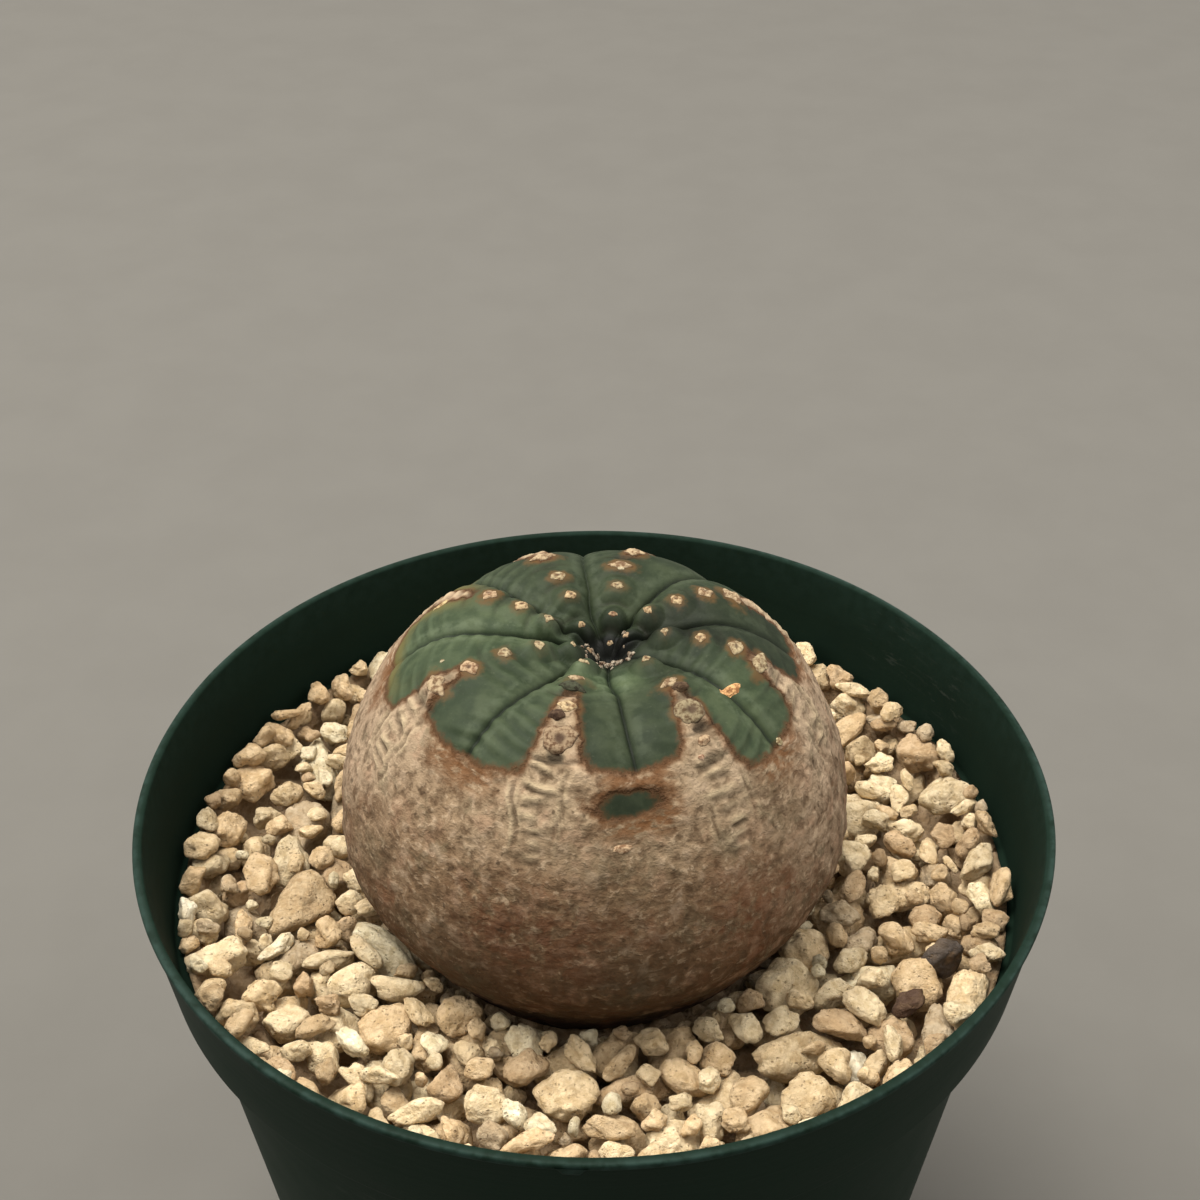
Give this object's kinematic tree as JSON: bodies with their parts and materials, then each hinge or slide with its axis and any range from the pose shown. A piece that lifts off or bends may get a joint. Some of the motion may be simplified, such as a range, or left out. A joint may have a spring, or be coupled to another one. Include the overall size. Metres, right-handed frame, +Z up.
{
  "type": "potted baseball plant",
  "caption": "Ribbed ball-shaped succulent, green above and corky below, in a round dark green nursery pot topped with pale pumice grains.",
  "frame": {"origin": "centre of the pot's base, on the surface it stands on", "axes": "+Z up along the pot's axis, -Y towards the side that the picture shows, +X to its right"},
  "size_m": [0.108, 0.108, 0.1154],
  "materials": {
    "pot": "satin",
    "plant": "matte",
    "gravel": "matte",
    "potting_mix": "matte"
  },
  "bodies": {
    "root": {"pot": "pot", "plant": "plant", "gravel": "gravel", "potting_mix": "potting_mix"}
  },
  "joints": []
}
